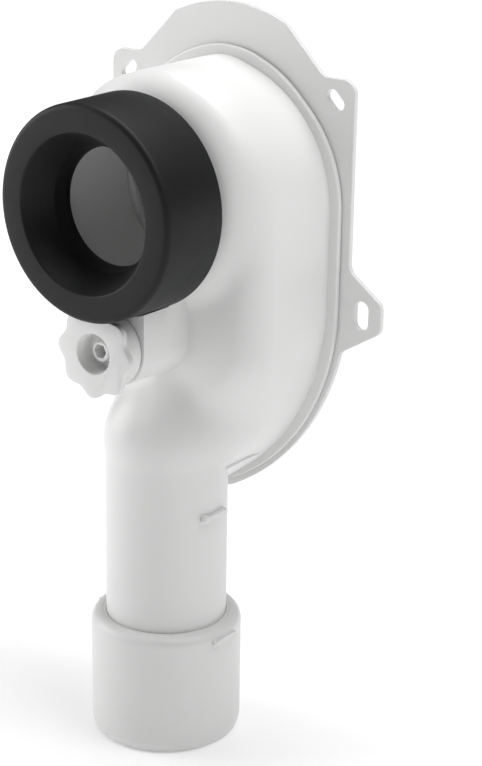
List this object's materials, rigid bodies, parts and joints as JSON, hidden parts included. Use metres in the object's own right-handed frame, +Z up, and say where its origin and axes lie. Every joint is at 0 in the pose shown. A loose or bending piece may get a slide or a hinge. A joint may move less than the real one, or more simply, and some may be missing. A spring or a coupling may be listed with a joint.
{
  "type": "urinal drain trap",
  "caption": "Wall-fixed urinal trap: shield-shaped moulded body on an eared back plate, rubber inlet collar, lobed cleaning plug and a straight outlet pipe with a sleeve.",
  "frame": {"origin": "on the wall face of the back plate, in the plane of symmetry, at the height of the inlet's axis", "axes": "+Z up along the outlet pipe, +Y into the wall, so the inlet opens towards -Y, +X to the right as seen from the front"},
  "size_m": [0.1214, 0.072, 0.2389],
  "materials": {
    "white_plastic": "satin moulded",
    "black_rubber": "matte moulded",
    "pale_rubber": "matte moulded"
  },
  "bodies": {
    "root": {"front_shell": "white_plastic", "back_plate": "white_plastic", "inlet_shaft": "white_plastic", "weir_wall": "white_plastic", "inlet_collar": "black_rubber", "cleaning_plug": "white_plastic", "plug_seal": "black_rubber", "outlet_sleeve": "white_plastic", "sleeve_seal": "pale_rubber"}
  },
  "joints": []
}
